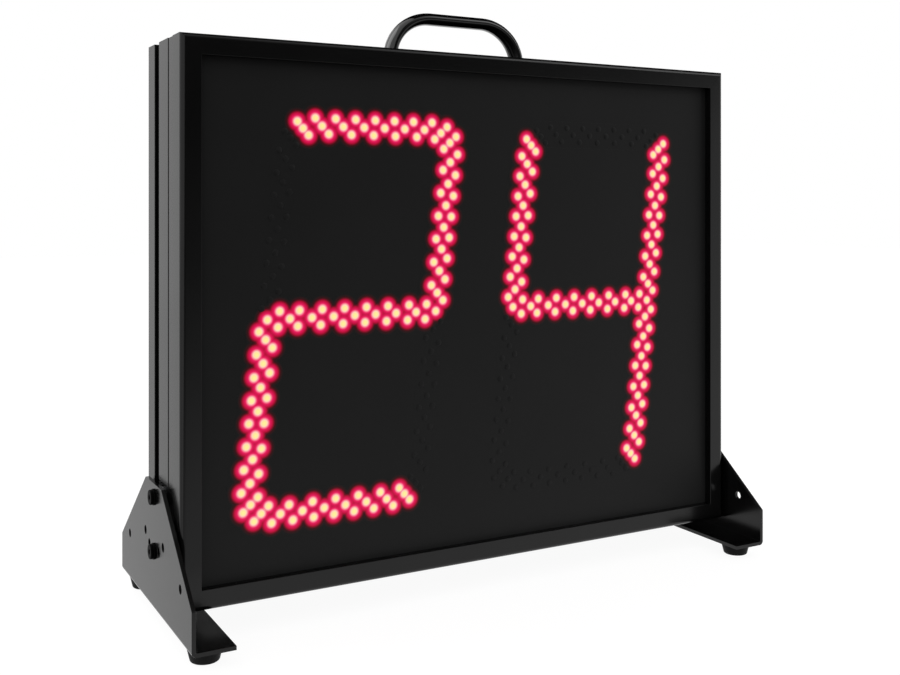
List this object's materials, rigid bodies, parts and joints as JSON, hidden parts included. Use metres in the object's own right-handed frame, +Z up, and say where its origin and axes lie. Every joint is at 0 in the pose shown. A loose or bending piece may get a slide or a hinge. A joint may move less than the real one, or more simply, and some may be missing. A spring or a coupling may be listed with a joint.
{
  "type": "shot clock",
  "caption": "Portable shot clock: a shallow black cabinet with a large LED number display, a carrying handle and side brackets that let it tilt back.",
  "frame": {"origin": "on the floor plane, under the centre of the rectangle that the brackets' ends and bolt heads bound", "axes": "+Z up; the display faces -Y; +X to the right of someone who looks at the display"},
  "size_m": [0.517, 0.205, 0.47],
  "materials": {
    "black_coat": "aluminium with a satin black powder coat",
    "panel_black": "glossy black acrylic sheet",
    "led_lit": "red LEDs, lit",
    "led_unlit": "dark tinted LEDs, unlit",
    "circuit_green": "green solder mask on circuit board",
    "plastic_black": "moulded black plastic",
    "cage_metal": "plain sheet metal cage",
    "bare_aluminium": "milled aluminium",
    "bolt_black": "black oxide steel",
    "foot_rubber": "moulded black rubber"
  },
  "bodies": {
    "stand": {"bracket_left": "black_coat", "bracket_right": "black_coat", "rubber_foot_front_left": "foot_rubber", "rubber_foot_front_right": "foot_rubber", "rubber_foot_rear_left": "foot_rubber", "rubber_foot_rear_right": "foot_rubber", "foot_screw_front_left": "bolt_black", "foot_screw_front_right": "bolt_black", "foot_screw_rear_left": "bolt_black", "foot_screw_rear_right": "bolt_black", "lock_bolt_left": "bolt_black", "lock_bolt_right": "bolt_black"},
    "cabinet": {"front_frame_top": "black_coat", "front_frame_bottom": "black_coat", "front_frame_left": "black_coat", "front_frame_right": "black_coat", "body_profile_top": "black_coat", "body_profile_bottom": "black_coat", "body_profile_left": "black_coat", "body_profile_right": "black_coat", "corner_block_top_left": "bare_aluminium", "corner_block_top_right": "bare_aluminium", "corner_block_bottom_left": "bare_aluminium", "corner_block_bottom_right": "bare_aluminium", "front_panel": "panel_black", "left_digit_board": "circuit_green", "right_digit_board": "circuit_green", "left_digit_segment_a": "led_lit", "left_digit_segment_b": "led_lit", "left_digit_segment_c": "led_unlit", "left_digit_segment_d": "led_lit", "left_digit_segment_e": "led_lit", "left_digit_segment_f": "led_unlit", "left_digit_segment_g": "led_lit", "right_digit_segment_a": "led_unlit", "right_digit_segment_b": "led_lit", "right_digit_segment_c": "led_lit", "right_digit_segment_d": "led_unlit", "right_digit_segment_e": "led_unlit", "right_digit_segment_f": "led_lit", "right_digit_segment_g": "led_lit", "rear_cover": "black_coat", "rear_cover_screw_bottom_left": "bolt_black", "rear_cover_screw_bottom_right": "bolt_black", "rear_cover_screw_top_left": "bolt_black", "rear_cover_screw_top_right": "bolt_black", "horn": "plastic_black", "controller_board": "circuit_green", "power_supply": "cage_metal", "mains_inlet": "plastic_black", "handle": "black_coat", "handle_screw_left": "bolt_black", "handle_screw_right": "bolt_black", "side_block_left": "bare_aluminium", "side_block_right": "bare_aluminium", "pivot_spacer_left": "bare_aluminium", "pivot_spacer_right": "bare_aluminium", "pivot_bolt_left": "bolt_black", "pivot_bolt_right": "bolt_black"},
    "rocker": {"power_switch_rocker": "plastic_black"}
  },
  "joints": [
    {"name": "cabinet_tilt", "type": "hinge", "parent": "stand", "child": "cabinet", "pos_m": [0, -0.0025, 0.094], "axis": [-1, 0, 0], "range_deg": [0, 40]},
    {"name": "power_switch_press", "type": "hinge", "parent": "cabinet", "child": "rocker", "pos_m": [0.166, 0.0345, 0.085], "axis": [1, 0, 0], "range_deg": [-16, 0]}
  ]
}
